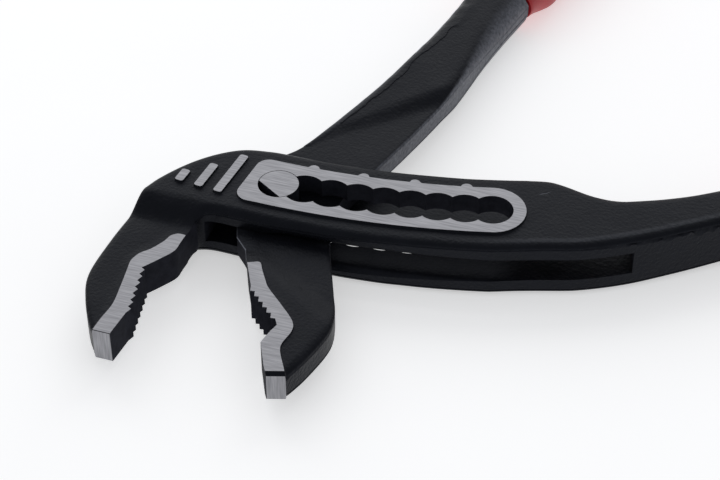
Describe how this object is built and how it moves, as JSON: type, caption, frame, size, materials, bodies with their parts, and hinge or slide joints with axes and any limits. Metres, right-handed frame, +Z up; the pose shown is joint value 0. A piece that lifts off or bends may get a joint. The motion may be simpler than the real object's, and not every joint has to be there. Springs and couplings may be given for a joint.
{
  "type": "water pump pliers",
  "caption": "Box-joint water pump pliers with a scalloped adjusting channel, a flush pivot pin, toothed jaws and sleeved handles.",
  "frame": {"origin": "the pivot pin's axis in the first position of the channel, at the underside of the ground ring on which the tool lies", "axes": "+X along the channel at its first position, towards the slotted half's handle; +Y towards the inner half's handle; +Z up, along the pin"},
  "size_m": [0.2188, 0.2482, 0.015],
  "materials": {
    "black_forging": "drop-forged tool steel, blackened and lacquered, fine grained",
    "ground_steel": "bright, fine ground",
    "red_grip": "red moulded plastic, satin"
  },
  "bodies": {
    "slotted_body": {"slotted_half": "black_forging", "slotted_half_grip": "red_grip"},
    "pin_body": {"pivot_pin": "ground_steel"},
    "inner_body": {"inner_half": "black_forging", "inner_half_grip": "red_grip"}
  },
  "joints": [
    {"name": "adjust", "type": "hinge", "parent": "slotted_body", "child": "pin_body", "pos_m": [0, 0.187, 0.0075], "axis": [0, 0, 1], "range_deg": [0, 14.71]},
    {"name": "pivot", "type": "hinge", "parent": "pin_body", "child": "inner_body", "pos_m": [0, 0, 0.0075], "axis": [0, 0, 1], "range_deg": [-36, 32]}
  ]
}
